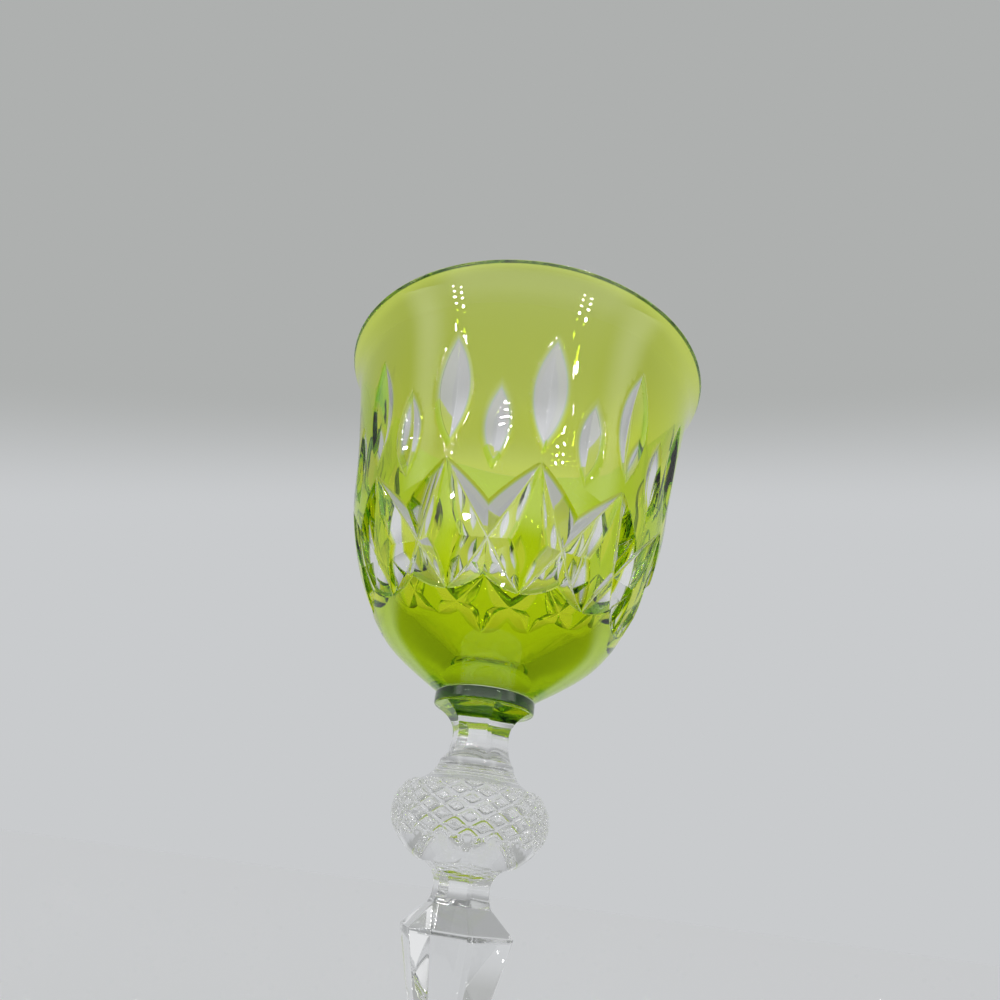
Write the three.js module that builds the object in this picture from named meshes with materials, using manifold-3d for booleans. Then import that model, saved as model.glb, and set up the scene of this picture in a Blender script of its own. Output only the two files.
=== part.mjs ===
// Wine goblet in cased cut crystal: a clear bowl with a coloured casing that is cut through
// to the clear glass, on a six-sided clear stem with a diamond-cut knop and a round foot.
// Millimetres, +Z up, origin at the centre of the foot's standing plane, front towards -Y.
import * as THREE from 'three';
import { mergeVertices } from 'three/addons/utils/BufferGeometryUtils.js';
import Module from 'manifold-3d';

// Bowl: radii of its outside and their heights above the flat seat of the bowl
const seatRadius = 8.8;
const cupRadius = 20.4;
const cupRise = 8.5;
const bellyRadius = 27.4;
const bellyRise = 19.8;
const breastRadius = 31.4;
const breastRise = 31.8;
const waistRadius = 33.3;
const waistRise = 43.8;
const lipRadius = 36.9;
const lipRise = 63.5;
const rimRadius = 40;
const bowlHeight = 70.6;

// Bowl walls: thickness at each of those places, of which the coloured layer outside takes its share
const seatWall = 7.6;
const cupWall = 5.7;
const bellyWall = 4.4;
const breastWall = 3.9;
const waistWall = 3.8;
const lipWall = 2.7;
const rimWall = 1.2;
const casingWall = 0.5;
const fuseGap = 0.05;

// Cut pattern of the bowl: repeats, degrees from the front to the first, and the wheel's reach outside
const patternCount = 12;
const patternTurn = 8;
const cutClear = 1.2;

// Tall olives stand on the main meridians, short olives half way between them; the slope of their sides
const oliveSlope = 19;
const tallOliveWidth = 7.5;
const tallOliveFoot = 34.3;
const tallOliveTip = 57.6;
const shortOliveWidth = 6;
const shortOliveFoot = 30.2;
const shortOliveTip = 47.4;

// Crossed mitres run from one main meridian down to the next and are widest where they cross
const mitreSlope = 33;
const mitreWidth = 7.4;
const mitreTop = 32.8;
const mitreCross = 19.5;
const mitreFoot = 12;

// Stem: heights of its pieces from the foot up, and corner radii of the six-sided ones
const stemSides = 6;
const stemTurn = 12;
const footHeight = 13;
const ankleHeight = 20.2;
const blockHeight = 8.1;
const shoulderHeight = 3.4;
const lowerNeckHeight = 5.7;
const knopHeight = 16;
const neckHeight = 9.2;
const mereseHeight = 2.4;
const ankleTopRadius = 7;
const ankleWaistRadius = 5.3;
const ankleFootRadius = 8;
const ankleWaistRise = 12;
const blockRadius = 9.6;
const shoulderRadius = 5.5;
const lowerNeckWaist = 4.9;
const lowerNeckWaistRise = 2.6;
const lowerNeckRadius = 7;
const neckWaistRadius = 5.3;
const neckFootRadius = 6.2;
const neckTopRadius = 8.8;
const hollowSpread = 0.6;

// Knop: a turned bulge with a band of flat-topped diamonds, a hollow shoulder above and a full one below
const knopRadius = 13.5;
const knopBulge = 5.9;
const knopTopRadius = 6.5;
const knopFootRadius = 7.6;
const bandHeight = 8.1;
const bandAboveBelly = 4.4;
const bellyOfKnop = 7.4;
const diamondsAround = 18;
const diamondRows = 3;
const diamondTop = 0.58;
const diamondDepth = 0.55;
const upperSwell = 0.16;
const lowerSwell = 0.6;

// Merese: the small disc between the bowl and the stem
const mereseRadius = 9.2;
const mereseRound = 0.6;
const mereseBevel = 0.3;

// Foot: a low spreading disc with a rounded edge and a ground standing ring around a hollow
const footRadius = 34;
const footRound = 1.2;
const footUnderside = 0.5;
const footWidest = 1.4;
const footEdge = 2.4;
const footSweep = 4.8;
const footNeckRadius = 8.6;
const ringOuterRadius = 31.5;
const ringInnerRadius = 28.4;
const hollowRadius = 27;
const hollowEdge = 0.6;
const footHollow = 1.4;

// Smoothness of the turned surfaces and of the cuts
const bowlFacets = 48;
const bowlSteps = 9;
const turnedFacets = 36;
const curveSteps = 4;
const shoulderSteps = 4;
const cutSteps = 4;
const routeStep = 0.01;
const mergeReach = 1e-4;

const wasm = await Module();
wasm.setup();
const degree = Math.PI / 180;

// Levels of the stacked pieces
const ankleLevel = footHeight;
const blockLevel = ankleLevel + ankleHeight;
const shoulderLevel = blockLevel + blockHeight;
const lowerNeckLevel = shoulderLevel + shoulderHeight;
const knopLevel = lowerNeckLevel + lowerNeckHeight;
const neckLevel = knopLevel + knopHeight;
const mereseLevel = neckLevel + neckHeight;
const bowlLevel = mereseLevel + mereseHeight;

const clearCrystal = new THREE.MeshStandardMaterial({ color: 0xe9edec, roughness: 0.03, metalness: 0 });
const greenCrystal = new THREE.MeshStandardMaterial({ color: 0xa9c81f, roughness: 0.03, metalness: 0 });

// Turns a profile of [radius, height] about the Z axis; it runs up the outside from the axis to the axis
function turned(profile, facets, startAngle = 0) {
  const points = profile.map(([radius, height]) => new THREE.Vector2(radius, height));
  const geometry = new THREE.LatheGeometry(points, facets, startAngle * degree);
  return closed(geometry.rotateX(Math.PI / 2));
}

// Merges shared vertices and leaves out the triangles that shrink to a line on the axis
function closed(geometry) {
  geometry.deleteAttribute('normal');
  geometry.deleteAttribute('uv');
  const merged = mergeVertices(geometry, mergeReach);
  const corners = merged.index.array;
  const kept = [];
  for (let i = 0; i < corners.length; i += 3) {
    const [a, b, c] = corners.slice(i, i + 3);
    if (a !== b && b !== c && c !== a) kept.push(a, b, c);
  }
  merged.setIndex(kept);
  return merged;
}

function solid(geometry) {
  const vertProperties = new Float32Array(geometry.attributes.position.array);
  const triVerts = new Uint32Array(geometry.index.array);
  return new wasm.Manifold(new wasm.Mesh({ numProp: 3, vertProperties, triVerts }));
}

function geometryOf(manifold) {
  const mesh = manifold.getMesh();
  const geometry = new THREE.BufferGeometry();
  geometry.setAttribute('position', new THREE.BufferAttribute(mesh.vertProperties, 3));
  geometry.setIndex(new THREE.BufferAttribute(mesh.triVerts, 1));
  return geometry;
}

// Curved stretch of a profile between two [radius, height] points, drawn towards a third
function pulledCurve(from, pull, to, steps = curveSteps) {
  const [a, b, c] = [from, pull, to].map(([radius, height]) => new THREE.Vector2(radius, height));
  return new THREE.QuadraticBezierCurve(a, b, c).getPoints(steps).map((point) => [point.x, point.y]);
}

// Hollow side of a stem piece: it stands upright at its waist and spreads towards both ends
function hollowSide(foot, waist, top) {
  const towards = (end) => [waist[0], waist[1] + (end[1] - waist[1]) * hollowSpread];
  const lower = pulledCurve(foot, towards(foot), waist);
  const upper = pulledCurve(waist, towards(top), top);
  return [...lower, ...upper.slice(1)];
}

// Outside of the bowl, in radius and height above its seat
const bowlSide = new THREE.SplineCurve([
  new THREE.Vector2(seatRadius, 0),
  new THREE.Vector2(cupRadius, cupRise),
  new THREE.Vector2(bellyRadius, bellyRise),
  new THREE.Vector2(breastRadius, breastRise),
  new THREE.Vector2(waistRadius, waistRise),
  new THREE.Vector2(lipRadius, lipRise),
  new THREE.Vector2(rimRadius, bowlHeight),
]);

// Thickness of the wall at the same places along that side
const wallPlaces = [seatWall, cupWall, bellyWall, breastWall, waistWall, lipWall, rimWall];
const wallCurve = new THREE.SplineCurve(wallPlaces.map((wall, place) => new THREE.Vector2(place, wall)));
const bowlWall = (along) => wallCurve.getPoint(along).y;

// Bowl profile set in from the outside by a depth that may change along it, rim and seat kept level
function bowlProfile(depthAt) {
  const profile = [];
  for (let step = 0; step <= bowlSteps; step += 1) {
    const along = step / bowlSteps;
    const depth = depthAt(along);
    const point = bowlSide.getPoint(along);
    const tangent = bowlSide.getTangent(along);
    const rise = step === bowlSteps ? bowlHeight : Math.max(point.y + depth * tangent.x, depth);
    profile.push([point.x - depth * tangent.y, bowlLevel + rise]);
  }
  return profile;
}

const bowlOutside = bowlProfile(() => 0);

// A closed bowl between two profiles, with flat floors where they start
function bowlShell(outer, inner) {
  const start = [0, outer[0][1]];
  const end = [0, inner[0][1]];
  return turned([start, ...outer, ...inner.slice().reverse(), end], bowlFacets, patternTurn);
}

// Place and outward direction on the facets of the bowl's outside, at an angle and a rise above its seat
function bowlSpot(angle, rise) {
  const height = bowlLevel + rise;
  const row = Math.max(1, bowlOutside.findIndex((point) => point[1] > height));
  const [lower, upper] = [bowlOutside[row - 1], bowlOutside[row]];
  const share = (height - lower[1]) / (upper[1] - lower[1]);
  const radius = lower[0] + (upper[0] - lower[0]) * share;
  const outward = new THREE.Vector3(Math.sin(angle * degree), -Math.cos(angle * degree), 0);
  const place = outward.clone().multiplyScalar(radius).setZ(height);
  const normal = outward.multiplyScalar(upper[1] - lower[1]).setZ(lower[0] - upper[0]).normalize();
  return { place, normal, radius };
}

// V-edged cutter that follows a path over the bowl: route gives the angle and rise at each share of the
// way, and the cut is widest half way along it and meets the surface in a point at both ends
function vCutter(route, width, sideSlope) {
  const slope = Math.tan(sideSlope * degree);
  const rings = [];
  for (let step = 0; step <= cutSteps; step += 1) {
    const share = step / cutSteps;
    const halfWidth = width / 2 * (1 - (2 * share - 1) ** 2);
    const before = bowlSpot(...route(share - routeStep)).place;
    const after = bowlSpot(...route(share + routeStep)).place;
    const { place: centre, normal, radius } = bowlSpot(...route(share));
    const across = normal.clone().cross(after.sub(before)).normalize();
    const depth = halfWidth * slope + halfWidth ** 2 / (2 * radius);
    const mouth = (depth + cutClear) / slope;
    const top = centre.clone().addScaledVector(normal, cutClear);
    rings.push([
      centre.clone().addScaledVector(normal, -depth),
      top.clone().addScaledVector(across, mouth),
      top.clone().addScaledVector(across, -mouth),
    ]);
  }
  return solid(skinned(rings));
}

// Closed body through rings of as many points each, the first and last ring filled flat
function skinned(rings) {
  const count = rings[0].length;
  const triangles = [];
  for (let k = 0; k < rings.length - 1; k += 1) {
    for (let i = 0; i < count; i += 1) {
      const j = (i + 1) % count;
      const [a, b] = [rings[k][i], rings[k][j]];
      const [c, d] = [rings[k + 1][i], rings[k + 1][j]];
      triangles.push(a, b, d, a, d, c);
    }
  }
  const last = rings[rings.length - 1];
  for (let i = 1; i < count - 1; i += 1) {
    triangles.push(rings[0][0], rings[0][i + 1], rings[0][i]);
    triangles.push(last[0], last[i], last[i + 1]);
  }
  return closed(new THREE.BufferGeometry().setFromPoints(triangles));
}

// All cuts of the bowl
function bowlCutters() {
  const pitch = 360 / patternCount;
  const drop = mitreTop - mitreFoot;
  const bend = 4 * ((mitreTop + mitreFoot) / 2 - mitreCross);
  const mitreRise = (share) => mitreTop - drop * share - bend * share * (1 - share);
  const cutters = [];
  for (let k = 0; k < patternCount; k += 1) {
    const main = patternTurn + k * pitch;
    const tall = (share) => [main, tallOliveTip + (tallOliveFoot - tallOliveTip) * share];
    const short = (share) => [main + pitch / 2, shortOliveTip + (shortOliveFoot - shortOliveTip) * share];
    cutters.push(vCutter(tall, tallOliveWidth, oliveSlope));
    cutters.push(vCutter(short, shortOliveWidth, oliveSlope));
    for (const side of [1, -1]) {
      const mitre = (share) => [main + side * pitch * share, mitreRise(share)];
      cutters.push(vCutter(mitre, mitreWidth, mitreSlope));
    }
  }
  return wasm.Manifold.union(cutters);
}

// Knop: rings of its plain shoulders, with the diamond band between them
function knopGeometry() {
  const bellyLevel = knopLevel + bellyOfKnop;
  const bandTop = bellyLevel + bandAboveBelly;
  const bandFoot = bandTop - bandHeight;
  const halfTurn = Math.PI / diamondsAround;
  const halfRows = 2 * diamondRows;
  const halfRise = bandHeight / halfRows;
  const bulge = (height) => knopRadius - knopBulge + Math.sqrt(knopBulge ** 2 - (height - bellyLevel) ** 2);
  const at = (radius, column, height) => new THREE.Vector3(
    radius * Math.sin(column * halfTurn), -radius * Math.cos(column * halfTurn), height);
  const surface = (column, row) => at(bulge(bandFoot + row * halfRise), column, bandFoot + row * halfRise);
  const valley = (column, row) => at(
    bulge(bandFoot + row * halfRise) - diamondDepth, column, bandFoot + row * halfRise);
  const triangles = [];
  const quad = (a, b, c, d) => triangles.push(a, b, c, a, c, d);
  for (let row = 0; row <= halfRows; row += 1) {
    for (let i = 0; i < diamondsAround; i += 1) {
      const column = 2 * i + (row % 2);
      const left = surface(column - diamondTop, row);
      const right = surface(column + diamondTop, row);
      const leftValley = valley(column - 1, row);
      const rightValley = valley(column + 1, row);
      if (row > 0) {
        const lower = surface(column, row - diamondTop);
        const lowerValley = valley(column, row - 1);
        triangles.push(left, lower, right);
        quad(leftValley, lowerValley, lower, left);
        quad(lowerValley, rightValley, right, lower);
      }
      if (row < halfRows) {
        const upper = surface(column, row + diamondTop);
        const upperValley = valley(column, row + 1);
        triangles.push(left, right, upper);
        quad(rightValley, upperValley, upper, right);
        quad(upperValley, leftValley, left, upper);
      }
    }
  }
  shoulder(triangles, bandTop, bulge(bandTop), neckLevel, knopTopRadius, upperSwell, 1);
  shoulder(triangles, bandFoot, bulge(bandFoot), knopLevel, knopFootRadius, lowerSwell, -1);
  return closed(new THREE.BufferGeometry().setFromPoints(triangles));

  // Plain shoulder from the notched edge of the band to the flat end of the knop
  function shoulder(faces, edgeHeight, edgeRadius, endHeight, endRadius, swell, way) {
    const columns = [];
    for (let i = 0; i < diamondsAround; i += 1) {
      columns.push([2 * i - 1, diamondDepth], [2 * i - diamondTop, 0], [2 * i + diamondTop, 0]);
    }
    const pull = [
      endRadius + (edgeRadius - endRadius) * swell,
      endHeight + (edgeHeight - endHeight) * (1 - swell),
    ];
    const curve = pulledCurve([edgeRadius, edgeHeight], pull, [endRadius, endHeight], shoulderSteps);
    const rings = curve.map(([radius, height], index) => columns.map(
      ([column, notch]) => at(radius - (index === 0 ? notch : 0), column, height)));
    const facing = (a, b, c) => (way > 0 ? faces.push(a, b, c) : faces.push(a, c, b));
    rings.slice(1).forEach((ring, k) => ring.forEach((point, i) => {
      const j = (i + 1) % ring.length;
      facing(rings[k][i], rings[k][j], ring[j]);
      facing(rings[k][i], ring[j], point);
    }));
    const hub = new THREE.Vector3(0, 0, endHeight);
    const end = rings[rings.length - 1];
    end.forEach((point, i) => facing(point, end[(i + 1) % end.length], hub));
  }
}

function mereseProfile() {
  const [low, high] = [mereseLevel, bowlLevel];
  return [
    [0, low],
    ...pulledCurve([neckTopRadius, low], [mereseRadius, low], [mereseRadius, low + mereseRound]),
    [mereseRadius, high - mereseBevel],
    [mereseRadius - mereseBevel, high],
    [0, high],
  ];
}

function neckProfile() {
  const middle = neckLevel + neckHeight / 2;
  const side = hollowSide([neckFootRadius, neckLevel], [neckWaistRadius, middle], [neckTopRadius, mereseLevel]);
  return [[0, neckLevel], ...side, [0, mereseLevel]];
}

function balusterProfile() {
  const ankle = hollowSide(
    [ankleFootRadius, ankleLevel],
    [ankleWaistRadius, ankleLevel + ankleWaistRise],
    [ankleTopRadius, blockLevel],
  );
  const lowerNeck = hollowSide(
    [shoulderRadius, lowerNeckLevel],
    [lowerNeckWaist, lowerNeckLevel + lowerNeckWaistRise],
    [lowerNeckRadius, knopLevel],
  );
  return [[0, ankleLevel], ...ankle, [blockRadius, shoulderLevel], ...lowerNeck, [0, knopLevel]];
}

function footProfile() {
  const flat = footRadius - footRound;
  return [
    [0, footHollow],
    [hollowRadius, hollowEdge],
    [ringInnerRadius, 0],
    [ringOuterRadius, 0],
    ...pulledCurve([flat, footUnderside], [footRadius, footUnderside], [footRadius, footWidest]),
    ...pulledCurve([flat, footEdge], [footNeckRadius, footSweep], [footNeckRadius, footHeight]),
    [0, footHeight],
  ];
}

const goblet = new THREE.Group();

function addPiece(name, geometry, material) {
  const mesh = new THREE.Mesh(geometry, material);
  mesh.name = name;
  goblet.add(mesh);
}

const cuts = bowlCutters();
const casing = bowlShell(bowlOutside, bowlProfile(() => casingWall));
const lining = bowlShell(bowlProfile(() => casingWall + fuseGap), bowlProfile(bowlWall));

addPiece('foot', turned(footProfile(), turnedFacets), clearCrystal);
addPiece('stem_baluster', turned(balusterProfile(), stemSides, stemTurn), clearCrystal);
addPiece('diamond_knop', knopGeometry(), clearCrystal);
addPiece('stem_neck', turned(neckProfile(), stemSides, stemTurn), clearCrystal);
addPiece('merese', turned(mereseProfile(), turnedFacets), clearCrystal);
addPiece('bowl_casing', geometryOf(solid(casing).subtract(cuts)), greenCrystal);
addPiece('bowl_lining', geometryOf(solid(lining).subtract(cuts)), clearCrystal);

export default goblet;
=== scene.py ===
import math

import bmesh
import bpy
import numpy as np
from mathutils import Matrix


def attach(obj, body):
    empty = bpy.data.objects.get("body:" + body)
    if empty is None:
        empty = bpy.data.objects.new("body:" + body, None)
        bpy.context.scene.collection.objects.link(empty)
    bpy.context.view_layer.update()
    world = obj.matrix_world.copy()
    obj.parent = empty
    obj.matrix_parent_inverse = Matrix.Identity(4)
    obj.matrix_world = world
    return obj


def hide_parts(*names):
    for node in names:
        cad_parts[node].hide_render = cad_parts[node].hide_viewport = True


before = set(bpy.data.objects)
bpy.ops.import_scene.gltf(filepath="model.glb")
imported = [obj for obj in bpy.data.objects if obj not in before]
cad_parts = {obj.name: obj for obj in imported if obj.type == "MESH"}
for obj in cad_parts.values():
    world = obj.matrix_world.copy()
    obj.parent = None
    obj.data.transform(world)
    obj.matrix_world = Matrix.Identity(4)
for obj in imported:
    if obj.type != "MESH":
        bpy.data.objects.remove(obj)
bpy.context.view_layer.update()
scene = bpy.context.scene
print("frame loaded:", sorted(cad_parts))

perMetre = 1000  # sizes below are in millimetres, Blender's are in metres


# sRGB hex to the linear colour that the sockets take
def linear(hexColour):
    parts = [int(hexColour[i:i + 2], 16) / 255 for i in (1, 3, 5)]
    return [c / 12.92 if c <= 0.04045 else ((c + 0.055) / 1.055) ** 2.4 for c in parts] + [1.0]


# adds a node: props on the node itself, values on its sockets, links from other nodes' outputs
def addNode(tree, kind, props={}, values={}, links={}):
    node = tree.nodes.new(kind)
    for name, value in props.items():
        setattr(node, name, value)
    for name, value in values.items():
        node.inputs[name].default_value = value
    for name, output in links.items():
        tree.links.new(output, node.inputs[name])
    return node


def newMaterial(name):
    material = bpy.data.materials.new(name)
    material.use_nodes = True
    material.node_tree.nodes.clear()
    return material, material.node_tree


# materials
white = linear("#ffffff")
crystal = {
    "ior": 1.545,                # full lead crystal
    "waveSize": 9.0,             # mm, slow waves that hand polishing leaves
    "waveHeight": 0.0022,        # mm
    "waveDetail": 1.0,
    "smearSize": 14.0,           # mm, faint patches where it was wiped
    "smearDetail": 3.0,
    "smearRange": (0.45, 0.75),  # noise levels where a patch starts and where it is fullest
    "roughest": 0.012,
}
casingGlass = {
    "tint": "#f1ffff",                  # what one pass keeps at any depth
    "absorbs": (200.0, 145.0, 6100.0),  # per metre, in red, green and blue
    "headroom": 1.01,                   # keeps the colour that is absorbed most just above black
}


# bump and roughness of wheel-polished crystal, shared by the clear and the coloured glass
def polish(tree, finish):
    place = addNode(tree, "ShaderNodeTexCoord")
    waves = addNode(tree, "ShaderNodeTexNoise",
                    values={"Scale": perMetre / finish["waveSize"], "Detail": finish["waveDetail"]},
                    links={"Vector": place.outputs["Object"]})
    bump = addNode(tree, "ShaderNodeBump",
                   values={"Strength": 1.0, "Distance": finish["waveHeight"] / perMetre},
                   links={"Height": waves.outputs["Fac"]})
    smears = addNode(tree, "ShaderNodeTexNoise",
                     values={"Scale": perMetre / finish["smearSize"], "Detail": finish["smearDetail"]},
                     links={"Vector": place.outputs["Object"]})
    starts, fullest = finish["smearRange"]
    rough = addNode(tree, "ShaderNodeMapRange",
                    values={"From Min": starts, "From Max": fullest,
                            "To Min": 0.0, "To Max": finish["roughest"]},
                    links={"Value": smears.outputs["Fac"]})
    return bump.outputs["Normal"], rough.outputs["Result"]


# lead crystal, wheel-cut and polished: clear with bright edges, faint waves in what shows through it
clearCrystal, tree = newMaterial("lead crystal, cut and polished")
normal, rough = polish(tree, crystal)
glass = addNode(tree, "ShaderNodeBsdfPrincipled",
                values={"Base Color": white, "IOR": crystal["ior"], "Transmission Weight": 1.0},
                links={"Normal": normal, "Roughness": rough})
addNode(tree, "ShaderNodeOutputMaterial", links={"Surface": glass.outputs["BSDF"]})

# where two pieces of the same glass were joined hot there is no surface left to see
fusedJoint, tree = newMaterial("fused glass joint")
joint = addNode(tree, "ShaderNodeBsdfTransparent", values={"Color": white})
addNode(tree, "ShaderNodeOutputMaterial", links={"Surface": joint.outputs["BSDF"]})

# thin coat of yellow-green casing glass: its colour deepens with the depth of glass looked through and fades
# where a cut thins it; the side fused to other glass neither bends light nor shines
greenCrystal, tree = newMaterial("yellow-green casing glass, cut and polished")
normal, rough = polish(tree, crystal)
fusedSide = addNode(tree, "ShaderNodeAttribute", props={"attribute_name": "fused"})
bend = addNode(tree, "ShaderNodeMapRange", values={"To Min": crystal["ior"], "To Max": 1.0},
               links={"Value": fusedSide.outputs["Fac"]})
shine = addNode(tree, "ShaderNodeMapRange", values={"To Max": 0.0},
                links={"Value": fusedSide.outputs["Fac"], "To Min": rough})
glass = addNode(tree, "ShaderNodeBsdfPrincipled",
                values={"Base Color": linear(casingGlass["tint"]), "IOR": crystal["ior"],
                        "Transmission Weight": 1.0},
                links={"Normal": normal, "Roughness": shine.outputs["Result"],
                       "IOR": bend.outputs["Result"]})
density = max(casingGlass["absorbs"]) * casingGlass["headroom"]
passes = [1 - a / density for a in casingGlass["absorbs"]] + [1.0]
depthColour = addNode(tree, "ShaderNodeVolumeAbsorption", values={"Density": density, "Color": passes})
addNode(tree, "ShaderNodeOutputMaterial",
        links={"Surface": glass.outputs["BSDF"], "Volume": depthColour.outputs["Volume"]})
print("materials done")


# mesh helpers
sharpAngle = math.radians(15)
clearSlot, jointSlot = 0, 1  # material slots of every clear piece
seam = 0.02                  # left between casing and lining, and between bowl and merese


def makeMesh(name, points, faces, slots):
    mesh = bpy.data.meshes.new(name)
    mesh.from_pydata((np.asarray(points) / perMetre).tolist(), [], [list(map(int, f)) for f in faces])
    mesh.materials.append(clearCrystal)
    mesh.materials.append(fusedJoint)
    mesh.polygons.foreach_set("material_index", [int(s) for s in slots])
    mesh.update()
    return mesh


def finishPiece(name, mesh, node):
    mesh.shade_smooth()
    mesh.set_sharp_from_angle(angle=sharpAngle)
    piece = bpy.data.objects.new(name, mesh)
    scene.collection.objects.link(piece)
    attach(piece, "root")
    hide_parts(node)
    print(name, len(mesh.polygons), "faces")


# closes a stack of rings; its last two faces are the first and the last cap, which are fused joints
def skin(rings):
    count = len(rings[0])
    points = np.concatenate(rings)
    faces, slots = [], []
    for k in range(len(rings) - 1):
        for i in range(count):
            j = (i + 1) % count
            faces.append((k * count + i, k * count + j, (k + 1) * count + j, (k + 1) * count + i))
            slots.append(clearSlot)
    last = (len(rings) - 1) * count
    faces.append(tuple(range(count - 1, -1, -1)))
    faces.append(tuple(range(last, last + count)))
    return points, faces, slots + [jointSlot, jointSlot]


def turnedRing(radius, height, angles):
    heights = np.full(len(angles), height)
    return np.stack([radius * np.sin(angles), -radius * np.cos(angles), heights], axis=1)


# quadratic curve between two (radius, height) points, drawn towards a third
def pulled(start, pull, end, steps):
    t = np.linspace(0, 1, steps + 1)[:, None]
    a, b, c = map(np.asarray, (start, pull, end))
    return (1 - t) ** 2 * a + 2 * t * (1 - t) * b + t ** 2 * c


# hollow side of a stem piece, upright at its waist
def hollowSide(foot, waist, top, spread, steps):
    towards = lambda end: (waist[0], waist[1] + (end[1] - waist[1]) * spread)
    lower = pulled(foot, towards(foot), waist, steps)
    upper = pulled(waist, towards(top), top, steps)
    return np.concatenate([lower, upper[1:]])


# takes the sharpness off the corner between two stretches of a profile
def softCorner(before, corner, after, reach, steps=3):
    before, corner, after = map(np.asarray, (before, corner, after))
    a = corner + (before - corner) / np.linalg.norm(before - corner) * reach
    b = corner + (after - corner) / np.linalg.norm(after - corner) * reach
    return pulled(a, corner, b, steps)


# stem: levels where its pieces meet, and the six-sided section that they share
stem = {
    "foot": 13.0, "knop": 50.4, "neck": 66.4, "merese": 75.6, "bowl": 78.0,
    "sides": 6, "turn": 12.0, "arris": 0.3,  # arris is the radius that polishing leaves on an edge
    "edgePoints": 11, "gather": 1.7,         # points from an arris to mid-side, gathered at the arris
    "spread": 0.6, "steps": 16,              # of each half of a hollow side
}
sector = 2 * math.pi / stem["sides"]
spreadOut = (np.linspace(0, 1, stem["edgePoints"]) ** stem["gather"]) * sector / 2
fromArris = np.concatenate([-spreadOut[:0:-1], spreadOut[:-1]])
arrises = [math.radians(stem["turn"]) + sector * k for k in range(stem["sides"])]
stemAngles = np.concatenate([arris + fromArris for arris in arrises])


# six-sided ring with slightly rounded arrises; where it runs out into a turned piece it grows round
def sixSided(radius, height, roundShare=0.0):
    off = np.abs(np.tile(fromArris, stem["sides"]))
    apothem = radius * math.cos(sector / 2)
    q = stem["arris"]
    centre = radius - q / math.cos(sector / 2)
    meets = math.atan2(q * math.sin(sector / 2), centre + q * math.cos(sector / 2))
    flat = apothem / np.cos(sector / 2 - off)
    arc = centre * np.cos(off) + np.sqrt(np.maximum(q ** 2 - (centre * np.sin(off)) ** 2, 0))
    sided = np.where(off < meets, arc, flat)
    return turnedRing(sided + (radius - sided) * roundShare, height, stemAngles)


# lower stem: ankle, block and the short neck under the knop
baluster = {
    "ankleFoot": 8.0, "ankleWaist": 5.3, "ankleWaistRise": 12.0, "ankleTop": 7.0, "block": 33.2,
    "blockRadius": 9.6, "blockTop": 41.3, "blockSoft": 0.35,
    "neckFoot": 5.5, "neckLevel": 44.7, "neckWaist": 4.9, "neckWaistRise": 2.6, "neckTop": 7.0,
}
ankle = hollowSide((baluster["ankleFoot"], stem["foot"]),
                   (baluster["ankleWaist"], stem["foot"] + baluster["ankleWaistRise"]),
                   (baluster["ankleTop"], baluster["block"]), stem["spread"], stem["steps"])
shortNeck = hollowSide((baluster["neckFoot"], baluster["neckLevel"]),
                       (baluster["neckWaist"], baluster["neckLevel"] + baluster["neckWaistRise"]),
                       (baluster["neckTop"], stem["knop"]), stem["spread"], stem["steps"])
blockEdge = (baluster["blockRadius"], baluster["blockTop"])
blockTop = softCorner(ankle[-1], blockEdge, shortNeck[0], baluster["blockSoft"])
rings = [sixSided(r, z) for r, z in np.concatenate([ankle, blockTop, shortNeck])]
finishPiece("crystal_baluster", makeMesh("stem_baluster", *skin(rings)), "stem_baluster")

# neck between knop and merese, whose six sides run out round on the knop
neck = {"foot": 6.5, "waist": 5.3, "top": 8.8, "runOut": 3.0}
neckMiddle = (stem["neck"] + stem["merese"]) / 2
neckSide = hollowSide((neck["foot"], stem["neck"]), (neck["waist"], neckMiddle),
                      (neck["top"], stem["merese"]), stem["spread"], stem["steps"])
roundShares = np.clip(1 - (neckSide[:, 1] - stem["neck"]) / neck["runOut"], 0, 1) ** 2
rings = [sixSided(r, z, share) for (r, z), share in zip(neckSide, roundShares)]
finishPiece("crystal_neck", makeMesh("stem_neck", *skin(rings)), "stem_neck")

# the disc between bowl and stem, its foot cut out to the six sides of the neck that it is fused to
merese = {"radius": 9.2, "footRound": 0.6, "topRound": 0.4, "roundSteps": 6}
wide, topRound = merese["radius"], merese["topRound"]
discFoot, discTop = stem["merese"], stem["bowl"] - seam
mereseSide = np.concatenate([
    pulled((neck["top"], discFoot), (wide, discFoot), (wide, discFoot + merese["footRound"]),
           merese["roundSteps"]),
    pulled((wide, discTop - topRound), (wide, discTop), (wide - topRound, discTop), merese["roundSteps"]),
])
rings = [sixSided(neck["top"], discFoot)] + [turnedRing(r, z, stemAngles) for r, z in mereseSide]
finishPiece("crystal_merese", makeMesh("merese", *skin(rings)), "merese")


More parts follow.
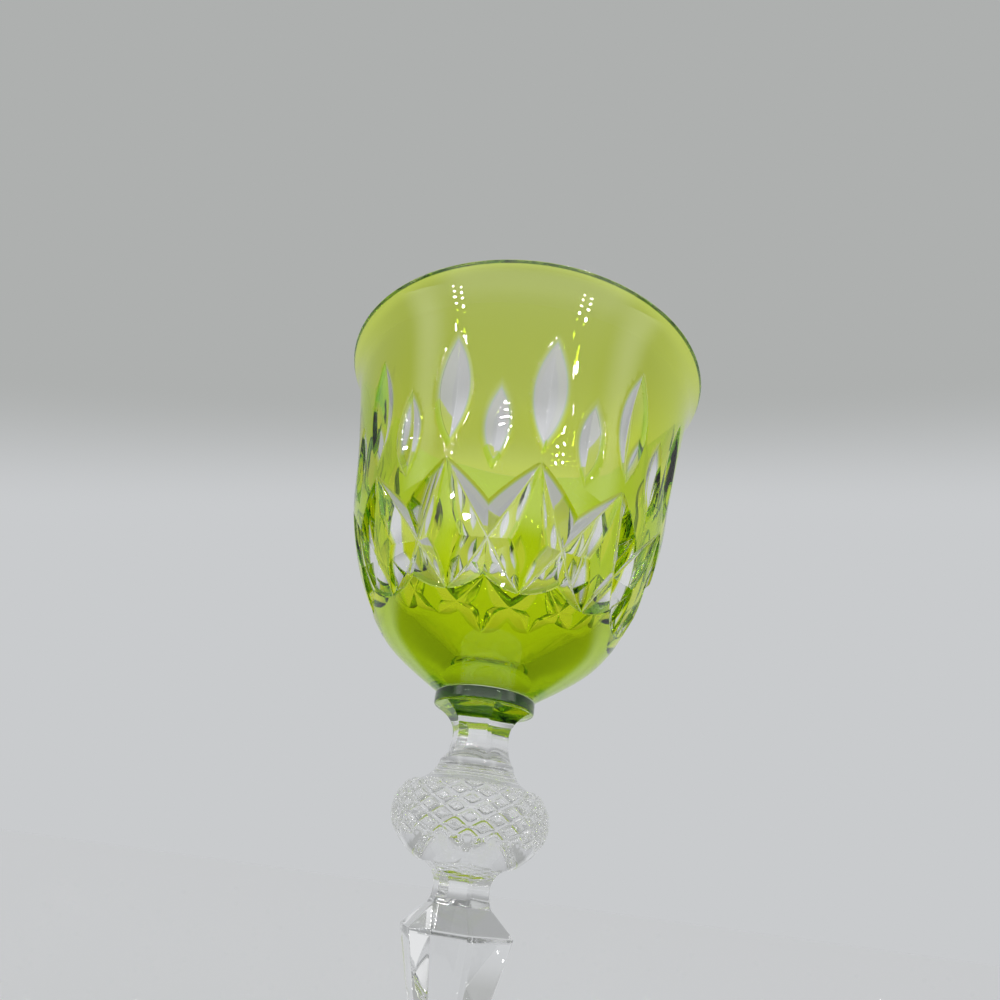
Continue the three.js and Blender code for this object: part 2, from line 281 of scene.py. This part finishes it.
# foot: a hollow underside, the ground ring that it stands on, a rounded edge and a sweep up to the ankle
foot = {
    "radius": 34.0, "round": 1.2, "underside": 0.5, "widest": 1.4, "edge": 2.4, "sweep": 4.8, "neck": 8.6,
    "ringOuter": 31.5, "ringInner": 28.4, "ringSoft": (0.3, 0.4),  # soft at the inner and the outer edge
    "middle": 0.4, "hollow": 1.4, "hollowRadius": 27.0, "hollowEdge": 0.6,
    "roundSteps": 6, "sweepSteps": 24,
}
flat = foot["radius"] - foot["round"]
hollowEdge = (foot["hollowRadius"], foot["hollowEdge"])
ringInner = (foot["ringInner"], 0)
ringOuter = (foot["ringOuter"], 0)
under = (flat, foot["underside"])
widest = (foot["radius"], foot["widest"])
over = (flat, foot["edge"])
footSide = np.concatenate([
    [(foot["middle"], foot["hollow"]), hollowEdge],
    softCorner(hollowEdge, ringInner, ringOuter, foot["ringSoft"][0]),
    softCorner(ringInner, ringOuter, under, foot["ringSoft"][1]),
    pulled(under, (foot["radius"], foot["underside"]), widest, foot["roundSteps"]),
    pulled(widest, (foot["radius"], foot["edge"]), over, foot["roundSteps"])[1:],
    pulled(over, (foot["neck"], foot["sweep"]), (foot["neck"], stem["foot"]), foot["sweepSteps"])[1:],
])
rings = [turnedRing(r, z, stemAngles) for r, z in footSide] + [sixSided(baluster["ankleFoot"], stem["foot"])]
points, faces, slots = skin(rings)
slots[-2] = clearSlot  # the underside stands free
finishPiece("crystal_foot", makeMesh("foot", points, faces, slots), "foot")


# knop
knop = {
    "radius": 13.5, "bulge": 5.9, "belly": 7.4, "foot": 7.6, "upperSwell": 0.16, "lowerSwell": 0.6,
    "band": 8.1, "bandAbove": 4.4,  # height of the diamond band, and how much of it is above the belly
    "around": 18, "rows": 3, "flat": 0.4, "depth": 0.55,
    "square": 6, "straight": 0.35,  # how square a diamond's top is, and how much of its fall is straight
    "steps": 12, "fine": 10,
}


# radii of the diamond band at columns and a row of its lattice: each diamond is a pillow between V grooves
def diamonds(columns, row, plain):
    p, q = (columns + row) / 2, (columns - row) / 2
    off = 2 * np.stack([np.abs(p - np.round(p)), np.abs(q - np.round(q))])
    toGroove = np.minimum((off ** knop["square"]).sum(axis=0) ** (1 / knop["square"]), 1)
    fall = np.clip((toGroove - knop["flat"]) / (1 - knop["flat"]), 0, 1)
    return plain - knop["depth"] * (knop["straight"] * fall + (1 - knop["straight"]) * fall ** 2)


# triangles that look down, between an outer and an inner ring of unlike counts in one plane
def zipRings(outer, inner, points, face):
    turn = lambda i: math.atan2(points[i][0], -points[i][1]) % (2 * math.pi)
    outer, inner = (sorted(ring, key=turn) for ring in (outer, inner))
    a = b = 0
    while a < len(outer) or b < len(inner):
        nextOuter = turn(outer[a]) if a < len(outer) else math.inf
        nextInner = turn(inner[b]) if b < len(inner) else math.inf
        if nextOuter <= nextInner:
            face(inner[b - 1], outer[a], outer[a - 1])
            a += 1
        else:
            face(inner[b - 1], inner[b], outer[a - 1])
            b += 1


def knopMesh():
    belly = stem["knop"] + knop["belly"]
    bandTop = belly + knop["bandAbove"]
    bandFoot = bandTop - knop["band"]
    halfRows = 2 * knop["rows"]
    bulge = lambda z: knop["radius"] - knop["bulge"] + math.sqrt(knop["bulge"] ** 2 - (z - belly) ** 2)
    count = 2 * knop["around"] * knop["fine"]
    columns = np.arange(count) / knop["fine"]
    angles = columns * math.pi / knop["around"]

    # plain shoulder from the notched edge of the band to the flat end
    def shoulder(edge, end, radius, swell):
        pull = (radius + (bulge(edge) - radius) * swell, end + (edge - end) * (1 - swell))
        return pulled((bulge(edge), edge), pull, (radius, end), knop["steps"])[1:]

    lower = shoulder(bandFoot, stem["knop"], knop["foot"], knop["lowerSwell"])
    upper = shoulder(bandTop, stem["neck"], neck["foot"], knop["upperSwell"])
    rings = [turnedRing(r, z, angles) for r, z in lower[::-1]]
    for row in np.linspace(0, halfRows, halfRows * knop["fine"] + 1):
        z = bandFoot + row * knop["band"] / halfRows
        rings.append(turnedRing(diamonds(columns, row, bulge(z)), z, angles))
    rings += [turnedRing(r, z, angles) for r, z in upper]
    points = np.concatenate(rings).tolist()
    fromAxis = np.hypot(*np.array(points)[:, :2].T)
    faces, slots = [], []

    def face(*corners):
        faces.append(corners)
        slots.append(clearSlot)

    # the grooves run along one diagonal of the little squares, so they are split there
    for k in range(len(rings) - 1):
        for i in range(count):
            j = (i + 1) % count
            a, b, c, d = k * count + i, k * count + j, (k + 1) * count + j, (k + 1) * count + i
            if fromAxis[a] + fromAxis[c] < fromAxis[b] + fromAxis[d]:
                face(a, b, c)
                face(a, c, d)
            else:
                face(a, b, d)
                face(b, c, d)
    # joint with the round foot of the neck, then a flat ring round the six-sided joint below
    last = (len(rings) - 1) * count
    hexagon = range(len(points), len(points) + len(stemAngles))
    points += sixSided(baluster["neckTop"], stem["knop"]).tolist()
    zipRings(range(count), hexagon, points, face)
    faces += [tuple(range(last, last + count)), tuple(hexagon)[::-1]]
    return points, faces, slots + [jointSlot, jointSlot]


finishPiece("crystal_knop", makeMesh("diamond_knop", *knopMesh()), "diamond_knop")


# bowl: radius and height of places up its outside, with the thickness of the glass at each of them
bowl = {
    "outside": [(8.8, 0), (20.4, 8.5), (27.4, 19.8), (31.4, 31.8), (33.3, 43.8), (36.9, 63.5), (40.0, 70.6)],
    "walls": [7.6, 5.7, 4.4, 3.9, 3.8, 2.7, 1.2],         # casing included
    "casings": [1.2, 0.62, 0.5, 0.46, 0.41, 0.31, 0.29],  # the colour gathers at the seat
    "outerRim": (0.17, 0.3), "innerRim": (0.62, 1.8),     # how far the rim is rounded, across and down
    "around": 240, "steps": 96, "fine": 4001,
    "lip": (0.985, 0.987), "lipSteps": 14,                # where wide steps end and close ones start
    "closest": 0.004,                                     # mm between points of a profile
}
bowlHeight = bowl["outside"][-1][1]


# place and direction along a smooth curve through points, the same spline as the part's
def splineThrough(points, along):
    p = np.array(points, float)
    p = np.concatenate([p[:1], p, p[-1:]])
    spans = len(p) - 3
    s = np.clip(np.asarray(along, float), 0, 1) * spans
    k = np.minimum(s.astype(int), spans - 1)
    t = (s - k)[:, None]
    a, b, c, d = p[k], p[k + 1], p[k + 2], p[k + 3]
    m0, m1 = (c - a) / 2, (d - b) / 2
    place = (2 * b - 2 * c + m0 + m1) * t ** 3 + (-3 * b + 3 * c - 2 * m0 - m1) * t ** 2 + m0 * t + b
    way = 3 * (2 * b - 2 * c + m0 + m1) * t ** 2 + 2 * (-3 * b + 3 * c - 2 * m0 - m1) * t + m0
    return place, way / np.linalg.norm(way, axis=1, keepdims=True)


def bowlCurve(along):
    return splineThrough(bowl["outside"], along)


# steps up the bowl, closer together over the lip
wideEnd, closeStart = bowl["lip"]
bowlAlong = np.concatenate([np.linspace(0, wideEnd, bowl["steps"]),
                            np.linspace(closeStart, 1, bowl["lipSteps"])])


# profile set in from the outside; the floor stays level and the rim keeps its height
def setIn(depth):
    place, way = bowlCurve(bowlAlong)
    r = place[:, 0] - depth * way[:, 1]
    z = np.minimum(np.maximum(place[:, 1] + depth * way[:, 0], depth), bowlHeight)
    return np.stack([r, z], axis=1)


# rounds a rim corner by so much across and down; side is -1 for the outer corner and 1 for the inner one
def roundRim(profile, reach, side):
    across, down = reach
    up = np.clip(profile[:, 1] - (bowlHeight - down), 0, down) / down
    profile[:, 0] += side * across * (1 - np.sqrt(1 - up ** 2))
    return profile


def levelOnce(profile):  # drops repeated points on the floor and at the rim
    keep = np.concatenate([[True], np.linalg.norm(np.diff(profile, axis=0), axis=1) > bowl["closest"]])
    return profile[keep]


# wheel cuts; an olive has its width, top and foot, and the mitres cross below the olives
cuts = {
    "count": 12, "turn": 8.0, "rings": 28, "aside": 0.01,  # aside: share of a route that gives its direction
    "oliveSlope": 19.0, "tall": (7.5, 57.6, 34.3), "short": (6.0, 47.4, 30.2),
    "mitreSlope": 33.0, "mitreWidth": 7.4, "mitreTop": 32.8, "mitreCross": 19.5, "mitreFoot": 12.0,
    "wheelEdge": 0.5, "edgePoints": 9,                     # the blunt bottom of the V
    "softEdge": 0.11, "softShare": 0.3, "softReach": 2.2,  # the polished edge of the cut
    "clear": 0.6, "clearGap": 0.25, "clearLean": 6,        # the cutter's sides above the glass
    "tries": 4, "leastHalf": 0.02, "probe": 0.05,          # for finding where a side leaves the glass
}


# closed shell between two profiles, each with its slot; the seat under it is a joint
def bowlShell(name, outer, inner, outerSlot, innerSlot):
    profile = np.concatenate([outer, inner[::-1]])
    profile[:, 1] += stem["bowl"]
    angles = math.radians(cuts["turn"]) + np.arange(bowl["around"]) * 2 * math.pi / bowl["around"]
    points, faces = skin([turnedRing(r, z, angles) for r, z in profile])[:2]
    rowSlots = [outerSlot] * (len(outer) - 1) + [clearSlot] + [innerSlot] * (len(inner) - 1)
    slots = list(np.repeat(rowSlots, bowl["around"])) + [jointSlot, innerSlot]
    return makeMesh(name, points, faces, slots)


# the bowl's outside in small steps, to look places up on it
fineAlong = np.linspace(0, 1, bowl["fine"])
finePlace = bowlCurve(fineAlong)[0]


# place and outward direction at an angle and a rise on the bowl's outside
def bowlSpot(angle, rise):
    at = np.interp(rise, finePlace[:, 1], fineAlong)
    place, way = (v[0] for v in bowlCurve([at]))
    out = np.array([math.sin(math.radians(angle)), -math.cos(math.radians(angle)), 0])
    normal = out * way[1] + np.array([0, 0, -way[0]])
    return out * place[0] + np.array([0, 0, stem["bowl"] + place[1]]), normal


# body of glass that the wheel takes away along a route: a V with a slightly blunt bottom, whose sides
# flatten just below the surface so that the polished edge of the cut is soft
def wheelCut(route, width, slopeAngle):
    slope = math.radians(slopeAngle)
    tan, edge, lift, probe = math.tan(slope), cuts["wheelEdge"], cuts["clear"], cuts["probe"]
    bends = slope * np.linspace(-1, 1, cuts["edgePoints"])
    rings = []
    for share in (1 - np.cos(np.linspace(0, math.pi, cuts["rings"]))) / 2:
        half = width / 2 * (1 - (2 * share - 1) ** 2)
        centre, normal = bowlSpot(*route(share))
        onwards = bowlSpot(*route(share + cuts["aside"]))[0] - bowlSpot(*route(share - cuts["aside"]))[0]
        across = np.cross(normal, onwards)
        across /= np.linalg.norm(across)

        # height of the bowl's outside over the plane that touches it here
        def skinAt(t):
            spot = centre + across * t
            outside = np.interp(spot[2] - stem["bowl"], finePlace[:, 1], finePlace[:, 0])
            return (outside - math.hypot(spot[0], spot[1])) * math.hypot(normal[0], normal[1])

        depth = half * tan - (skinAt(half) + skinAt(-half)) / 2
        heart = -depth + edge / math.cos(slope)
        blunt = [(edge * math.sin(b), heart - edge * math.cos(b)) for b in bends]
        sides = []
        for way in (-1, 1):
            meets = half
            for _ in range(cuts["tries"]):
                meets = (depth + skinAt(way * meets)) / tan
            meets = max(meets, cuts["leastHalf"])
            fall = (skinAt(way * (meets + probe)) - skinAt(way * (meets - probe))) / (2 * probe)
            soft = min(cuts["softEdge"], cuts["softShare"] * meets)
            middle = math.tan((slope + math.atan(fall)) / 2)
            start = (meets - soft, (meets - soft) * tan - depth)
            rest = (meets + cuts["softReach"] * soft, start[1] + (1 + cuts["softReach"]) * soft * middle)
            top = (rest[0] + cuts["clearGap"] * soft + (lift - rest[1]) / cuts["clearLean"], lift)
            sides.append([(way * x, y) for x, y in (start, rest, top)])
        section = sides[0][::-1] + blunt + sides[1]
        rings.append(np.array([centre + across * x + normal * y for x, y in section]))
    return skin(rings)[:2]


def cutterObject(name, routes, width, slopeAngle):
    points, faces = [], []
    for route in routes:
        p, f = wheelCut(route, width, slopeAngle)
        faces += [[i + len(points) for i in one] for one in f]
        points += p.tolist()
    mesh = bpy.data.meshes.new(name)
    mesh.from_pydata((np.array(points) / perMetre).tolist(), [], faces)
    return bpy.data.objects.new(name, mesh)


# a route gives the angle and the rise for each share of a cut's length
pitch = 360 / cuts["count"]
mains = [cuts["turn"] + pitch * k for k in range(cuts["count"])]
drop = cuts["mitreTop"] - cuts["mitreFoot"]
sag = 4 * ((cuts["mitreTop"] + cuts["mitreFoot"]) / 2 - cuts["mitreCross"])  # s * (1 - s) is 1/4 halfway
mitreRise = lambda s: cuts["mitreTop"] - drop * s - sag * s * (1 - s)
between = lambda span: lambda s: span[1] + (span[2] - span[1]) * s
upright = lambda angle, rise: lambda s: (angle, rise(s))
leaning = lambda angle, side: lambda s: (angle + side * pitch * s, mitreRise(s))
olive, mitre = cuts["oliveSlope"], cuts["mitreSlope"]
cutters = [
    cutterObject("tallOlives", [upright(a, between(cuts["tall"])) for a in mains], cuts["tall"][0], olive),
    cutterObject("shortOlives", [upright(a + pitch / 2, between(cuts["short"])) for a in mains],
                 cuts["short"][0], olive),
    cutterObject("rightMitres", [leaning(a, 1) for a in mains], cuts["mitreWidth"], mitre),
    cutterObject("leftMitres", [leaning(a, -1) for a in mains], cuts["mitreWidth"], mitre),
]


def outwards(mesh):  # faces turned to look out of the glass
    work = bmesh.new()
    work.from_mesh(mesh)
    if work.calc_volume(signed=True) < 0:
        bmesh.ops.reverse_faces(work, faces=work.faces)
        work.to_mesh(mesh)
    work.free()
    return mesh


for cutter in cutters:
    outwards(cutter.data)
    scene.collection.objects.link(cutter)


def cutThrough(mesh):
    blank = bpy.data.objects.new("blank", outwards(mesh))
    scene.collection.objects.link(blank)
    for cutter in cutters:
        modifier = blank.modifiers.new(cutter.name, "BOOLEAN")
        modifier.operation = "DIFFERENCE"
        modifier.solver = "MANIFOLD"
        modifier.object = cutter
    result = bpy.data.meshes.new_from_object(blank.evaluated_get(bpy.context.evaluated_depsgraph_get()))
    bpy.data.objects.remove(blank)
    return result


wallDepth = splineThrough(list(enumerate(bowl["walls"])), bowlAlong)[0][:, 1]
casingDepth = splineThrough(list(enumerate(bowl["casings"])), bowlAlong)[0][:, 1]
outerSide = levelOnce(roundRim(setIn(0.0), bowl["outerRim"], -1))
casingInside = levelOnce(setIn(casingDepth))
liningOutside = levelOnce(setIn(casingDepth + seam))
innerSide = levelOnce(roundRim(setIn(wallDepth), bowl["innerRim"], 1))

# the casing has one material, which reads from each face whether it is fused to other glass
casing = cutThrough(bowlShell("bowl_casing", outerSide, casingInside, clearSlot, jointSlot))
fused = np.zeros(len(casing.polygons), np.int32)
casing.polygons.foreach_get("material_index", fused)
casing.attributes.new("fused", "FLOAT", "FACE").data.foreach_set("value", fused.astype(float))
casing.polygons.foreach_set("material_index", np.zeros(len(fused), np.int32))
casing.materials.clear()
casing.materials.append(greenCrystal)
finishPiece("green_casing", casing, "bowl_casing")

lining = cutThrough(bowlShell("bowl_lining", liningOutside, innerSide, jointSlot, clearSlot))
finishPiece("crystal_bowl", lining, "bowl_lining")
for cutter in cutters:
    bpy.data.objects.remove(cutter)
print("pieces done")


# settings that many nodes below share; a colour mix takes its factor in 0 and its colours in 6 and 7
smoothStep = {"interpolation_type": "SMOOTHSTEP"}
colourMix = {"data_type": "RGBA"}
times = {"operation": "MULTIPLY"}
larger = {"operation": "MAXIMUM"}

# matt paper, uncoated: even and pale, with a grain too fine to shine, and a painted shade round the foot
# that only the glass shows
paper = {
    "colour": "#e8eaec", "size": 12000.0, "level": -0.2, "roughness": 0.9,
    "grain": 1.5, "grainDetail": 2.0, "grainHeight": 0.05, "grainStrength": 0.1,
    "paintedShade": "#bcbec0", "paintedShadeFrom": (42.0, 75.0), "paintedShadeTo": (110.0, 420.0),  # mm from the axis
}
mattPaper, tree = newMaterial("matt paper floor")
place = addNode(tree, "ShaderNodeTexCoord")
grain = addNode(tree, "ShaderNodeTexNoise",
                values={"Scale": perMetre / paper["grain"], "Detail": paper["grainDetail"]},
                links={"Vector": place.outputs["Object"]})
bump = addNode(tree, "ShaderNodeBump",
               values={"Strength": paper["grainStrength"], "Distance": paper["grainHeight"] / perMetre},
               links={"Height": grain.outputs["Fac"]})
# painted shade: seen through the glass it has a soft grey ring round the foot painted into its colour, which
# deepens the colour of the lower bowl
apart = addNode(tree, "ShaderNodeVectorMath", props={"operation": "LENGTH"},
                links={0: place.outputs["Object"]})
paintedShadeFrom, paintedShadeTo = ([d / perMetre for d in paper[k]] for k in ("paintedShadeFrom", "paintedShadeTo"))
grows = addNode(tree, "ShaderNodeMapRange", props=smoothStep,
                values={"From Min": paintedShadeFrom[0], "From Max": paintedShadeFrom[1]},
                links={"Value": apart.outputs["Value"]})
fades = addNode(tree, "ShaderNodeMapRange", props=smoothStep,
                values={"From Min": paintedShadeTo[1], "From Max": paintedShadeTo[0]},
                links={"Value": apart.outputs["Value"]})
ring = addNode(tree, "ShaderNodeMath", props=times,
               links={0: grows.outputs["Result"], 1: fades.outputs["Result"]})
floorRays = addNode(tree, "ShaderNodeLightPath")
inGlass = addNode(tree, "ShaderNodeMath", props=times,
                  links={0: floorRays.outputs["Is Transmission Ray"], 1: ring.outputs[0]})
# painted shade: for rays that came through the glass the paper colour turns to the grey shade colour in the
# ring
paintedShade = addNode(tree, "ShaderNodeMix", props=colourMix,
                values={6: linear(paper["colour"]), 7: linear(paper["paintedShade"])},
                links={0: inGlass.outputs[0]})
sheet = addNode(tree, "ShaderNodeBsdfPrincipled", values={"Roughness": paper["roughness"]},
                links={"Base Color": paintedShade.outputs[2], "Normal": bump.outputs["Normal"]})
addNode(tree, "ShaderNodeOutputMaterial", links={"Surface": sheet.outputs["BSDF"]})

floorHalf = paper["size"] / 2 / perMetre
floorLevel = paper["level"] / perMetre
corners = [(x * floorHalf, y * floorHalf, floorLevel) for x, y in ((-1, -1), (1, -1), (1, 1), (-1, 1))]
floorMesh = bpy.data.meshes.new("floor")
floorMesh.from_pydata(corners, [], [(0, 1, 2, 3)])
floorMesh.materials.append(mattPaper)
floor = bpy.data.objects.new("floor", floorMesh)
floor.visible_glossy = False  # the lower bowl mirrors the dark side behind the camera instead
scene.collection.objects.link(floor)

# camera: mm and degrees, with the focal length in pixels of the image
camera = {
    "place": (0.0, -128.7, 47.6), "yaw": -1.0, "pitch": 29.33, "roll": 7.79, "focal": 688.9, "image": 1000,
    "sensor": 36.0, "nearest": 5.0,
}
yaw, tilt, roll = (math.radians(camera[k]) for k in ("yaw", "pitch", "roll"))
ahead = np.array([math.sin(yaw) * math.cos(tilt), math.cos(yaw) * math.cos(tilt), math.sin(tilt)])
unrolledRight = np.array([math.cos(yaw), -math.sin(yaw), 0])
unrolledUp = np.cross(unrolledRight, ahead)
right = math.cos(roll) * unrolledRight + math.sin(roll) * unrolledUp
up = math.cos(roll) * unrolledUp - math.sin(roll) * unrolledRight
lens = bpy.data.cameras.new("camera")
lens.sensor_width = camera["sensor"]
lens.lens = camera["focal"] / camera["image"] * camera["sensor"]
lens.clip_start = camera["nearest"] / perMetre
eye = bpy.data.objects.new("camera", lens)
rows = [[right[i], up[i], -ahead[i], camera["place"][i] / perMetre] for i in range(3)]
eye.matrix_world = Matrix(rows + [[0, 0, 0, 1]])
scene.collection.objects.link(eye)
scene.camera = eye

# what stands round the goblet, by direction; ranges are of the direction's own height or depth, from -1 to 1
surround = {
    "low": "#c9cbcd", "high": "#aeb0af", "change": (-0.015, 0.15),
    "frontLow": "#262728", "frontHigh": "#e8e9ea", "frontChange": (-0.4, -0.12),
    "frontStart": (-0.45, -0.75), "belowStart": (-0.15, -0.45),
    "frontGain": (1.3, -0.1), "frontFade": (0.05, 0.5), "floorLight": 0.72,
}
world = bpy.data.worlds.new("pale studio")
world.use_nodes = True
scene.world = world
tree = world.node_tree
tree.nodes.clear()
# the far wall is greyer above the middle of the picture and paler below it
direction = addNode(tree, "ShaderNodeTexCoord")
rise = addNode(tree, "ShaderNodeVectorMath", props={"operation": "DOT_PRODUCT"}, values={1: up},
               links={0: direction.outputs["Generated"]})
lowest, highest = surround["change"]
height = addNode(tree, "ShaderNodeMapRange", props=smoothStep,
                 values={"From Min": lowest, "From Max": highest}, links={"Value": rise.outputs["Value"]})
wallColour = addNode(tree, "ShaderNodeMix", props=colourMix,
                     values={6: linear(surround["low"]), 7: linear(surround["high"])},
                     links={0: height.outputs["Result"]})
# behind the camera it is bright above and dark below, which the glass shows as pale sheen and dark edges
axes = addNode(tree, "ShaderNodeSeparateXYZ", links={"Vector": direction.outputs["Generated"]})
lowest, highest = surround["frontChange"]
frontRise = addNode(tree, "ShaderNodeMapRange", props=smoothStep,
                    values={"From Min": lowest, "From Max": highest}, links={"Value": axes.outputs["Z"]})
frontColour = addNode(tree, "ShaderNodeMix", props=colourMix,
                      values={6: linear(surround["frontLow"]), 7: linear(surround["frontHigh"])},
                      links={0: frontRise.outputs["Result"]})
starts, fullest = surround["frontStart"]
inFront = addNode(tree, "ShaderNodeMapRange", props=smoothStep,
                  values={"From Min": starts, "From Max": fullest}, links={"Value": axes.outputs["Y"]})
starts, fullest = surround["belowStart"]
below = addNode(tree, "ShaderNodeMapRange", props=smoothStep,
                values={"From Min": starts, "From Max": fullest}, links={"Value": axes.outputs["Z"]})
frontShare = addNode(tree, "ShaderNodeMath", props=larger,
                     links={0: inFront.outputs["Result"], 1: below.outputs["Result"]})
allRound = addNode(tree, "ShaderNodeMix", props=colourMix,
                   links={0: frontShare.outputs[0], 6: wallColour.outputs[2], 7: frontColour.outputs[2]})
# the camera and the glass see these colours, and the floor has plain white light
skyRays = addNode(tree, "ShaderNodeLightPath")
byGlass = addNode(tree, "ShaderNodeMath", props=larger,
                  links={0: skyRays.outputs["Is Glossy Ray"], 1: skyRays.outputs["Is Transmission Ray"]})
seen = addNode(tree, "ShaderNodeMath", props=larger,
               links={0: byGlass.outputs[0], 1: skyRays.outputs["Is Camera Ray"]})
backdrop = addNode(tree, "ShaderNodeMix", props=colourMix,
                   links={0: skyRays.outputs["Is Camera Ray"], 6: allRound.outputs[2],
                          7: wallColour.outputs[2]})
plainLight = addNode(tree, "ShaderNodeBackground",
                     values={"Color": white, "Strength": surround["floorLight"]})
# the front is brightest near the horizon, where the flared lip mirrors it
most, least = surround["frontGain"]
lowest, highest = surround["frontFade"]
gain = addNode(tree, "ShaderNodeMapRange", props=smoothStep,
               values={"From Min": lowest, "From Max": highest, "To Min": most, "To Max": least},
               links={"Value": axes.outputs["Z"]})
# rays inside the glass count as glossy too, so they are taken off
onSurface = addNode(tree, "ShaderNodeMath", props={"operation": "SUBTRACT"},
                    links={0: skyRays.outputs["Is Glossy Ray"], 1: skyRays.outputs["Is Transmission Ray"]})
mirrored = addNode(tree, "ShaderNodeMath", props=times,
                   links={0: onSurface.outputs[0], 1: frontShare.outputs[0]})
strength = addNode(tree, "ShaderNodeMath", props={"operation": "MULTIPLY_ADD"}, values={2: 1.0},
                   links={0: mirrored.outputs[0], 1: gain.outputs["Result"]})
shownLight = addNode(tree, "ShaderNodeBackground",
                     links={"Color": backdrop.outputs[2], "Strength": strength.outputs[0]})
both = addNode(tree, "ShaderNodeMixShader",
               links={0: seen.outputs[0], 1: plainLight.outputs[0], 2: shownLight.outputs[0]})
addNode(tree, "ShaderNodeOutputWorld", links={"Surface": both.outputs[0]})

# two pairs of columns and a level row of small round lamps, and two soft strips further round
lamps = {
    "dotAngles": (-43.0, 27.0), "dotAway": 350.0, "dotLevels": (170.0, 480.0), "dotRows": 12,
    "dotGap": 27.0, "dotStagger": 10.0, "dotRadius": 3.5, "dotGlow": 160.0,
    "dotPoints": 9, "dotLeast": 0.01,  # least half-height at a lamp's ends, as a share of its radius
    "barCount": 19, "barGap": 32.0, "barAway": 190.0, "barLevel": 430.0,
    "stripAngles": (-63.0, 60.0), "stripAway": 400.0, "stripWidth": 240.0, "stripLevels": (140.0, 700.0),
    "stripGlow": 1.6, "stripPoints": 17,
    "firstBounce": 0.5,  # a ray that paper has scattered has a diffuse depth above this
}


# lamp of flat patches seen only in the glass, never by the camera and not by the floor; each patch is a row
# of points along its top and one along its foot, and fade tells how its glow falls off along them
def lamp(name, glow, patches, fade):
    material, tree = newMaterial(name)
    brightness = addNode(tree, "ShaderNodeAttribute", props={"attribute_name": "glow"})
    lampRays = addNode(tree, "ShaderNodeLightPath")
    # light that the paper has scattered doesn't count, or it would fleck the floor
    unscattered = addNode(tree, "ShaderNodeMath", props={"operation": "LESS_THAN"},
                          values={1: lamps["firstBounce"]}, links={0: lampRays.outputs["Diffuse Depth"]})
    showing = addNode(tree, "ShaderNodeMath", props=times,
                      links={0: brightness.outputs["Fac"], 1: unscattered.outputs[0]})
    light = addNode(tree, "ShaderNodeEmission", values={"Color": white},
                    links={"Strength": showing.outputs[0]})
    thin = addNode(tree, "ShaderNodeBsdfTransparent", values={"Color": white})
    added = addNode(tree, "ShaderNodeAddShader", links={0: light.outputs[0], 1: thin.outputs[0]})
    addNode(tree, "ShaderNodeOutputMaterial", links={"Surface": added.outputs[0]})
    material.cycles.emission_sampling = "NONE"
    count = len(fade)
    faces = []
    for top in range(0, 2 * count * len(patches), 2 * count):
        bottom = top + count
        faces += [(top + i, top + i + 1, bottom + i + 1, bottom + i) for i in range(count - 1)]
    mesh = bpy.data.meshes.new(name)
    mesh.from_pydata((np.concatenate(patches) / perMetre).tolist(), [], faces)
    glows = np.tile(fade, 2 * len(patches)) * glow
    mesh.attributes.new("glow", "FLOAT", "POINT").data.foreach_set("value", glows)
    mesh.materials.append(material)
    thing = bpy.data.objects.new(name, mesh)
    scene.collection.objects.link(thing)
    thing.visible_camera = False
    thing.visible_diffuse = False
    return thing


# points of a flat patch that faces the goblet's axis, at an angle from the front
def patch(angle, away, aside, level, halfTall):
    out = np.array([math.sin(math.radians(angle)), -math.cos(math.radians(angle)), 0]) * away
    along = np.array([math.cos(math.radians(angle)), math.sin(math.radians(angle)), 0])
    return np.array([out + along * x + np.array([0, 0, level + way * y])
                     for way in (1, -1) for x, y in zip(aside, halfTall)])


turns = np.linspace(0, math.pi, lamps["dotPoints"])
disc = lamps["dotRadius"] * np.array([np.cos(turns), np.maximum(np.sin(turns), lamps["dotLeast"])])
dots = []
for angle in lamps["dotAngles"]:
    for column in (-0.5, 0.5):
        for level in np.linspace(*lamps["dotLevels"], lamps["dotRows"]):
            dots.append(patch(angle, lamps["dotAway"], disc[0] + column * lamps["dotGap"],
                              level + column * lamps["dotStagger"], disc[1]))
for step in np.arange(lamps["barCount"]) - (lamps["barCount"] - 1) / 2:
    dots.append(patch(0, lamps["barAway"], disc[0] + step * lamps["barGap"], lamps["barLevel"], disc[1]))
lamp("small white lamps", lamps["dotGlow"], dots, np.ones(len(turns)))

stripAcross = np.linspace(-1, 1, lamps["stripPoints"])
stripFoot, stripTop = lamps["stripLevels"]
stripLevel = (stripFoot + stripTop) / 2
stripAside = stripAcross * lamps["stripWidth"] / 2
halfTall = np.full(len(stripAcross), (stripTop - stripFoot) / 2)
strips = [patch(a, lamps["stripAway"], stripAside, stripLevel, halfTall) for a in lamps["stripAngles"]]
stripFade = np.cos(stripAcross * math.pi / 2) ** 2
softStrips = lamp("soft white strip lights", lamps["stripGlow"], strips, stripFade)
softStrips.visible_transmission = False  # they lie on the glass as sheen, and don't glare through it

# light crosses many faces of glass before it leaves the bowl
bounces = {
    "max_bounces": 40, "transmission_bounces": 40, "transparent_max_bounces": 40,
    "glossy_bounces": 16, "volume_bounces": 0,
}
for kind, limit in bounces.items():
    setattr(scene.cycles, kind, limit)
scene.view_settings.view_transform = "Standard"
print("studio done")
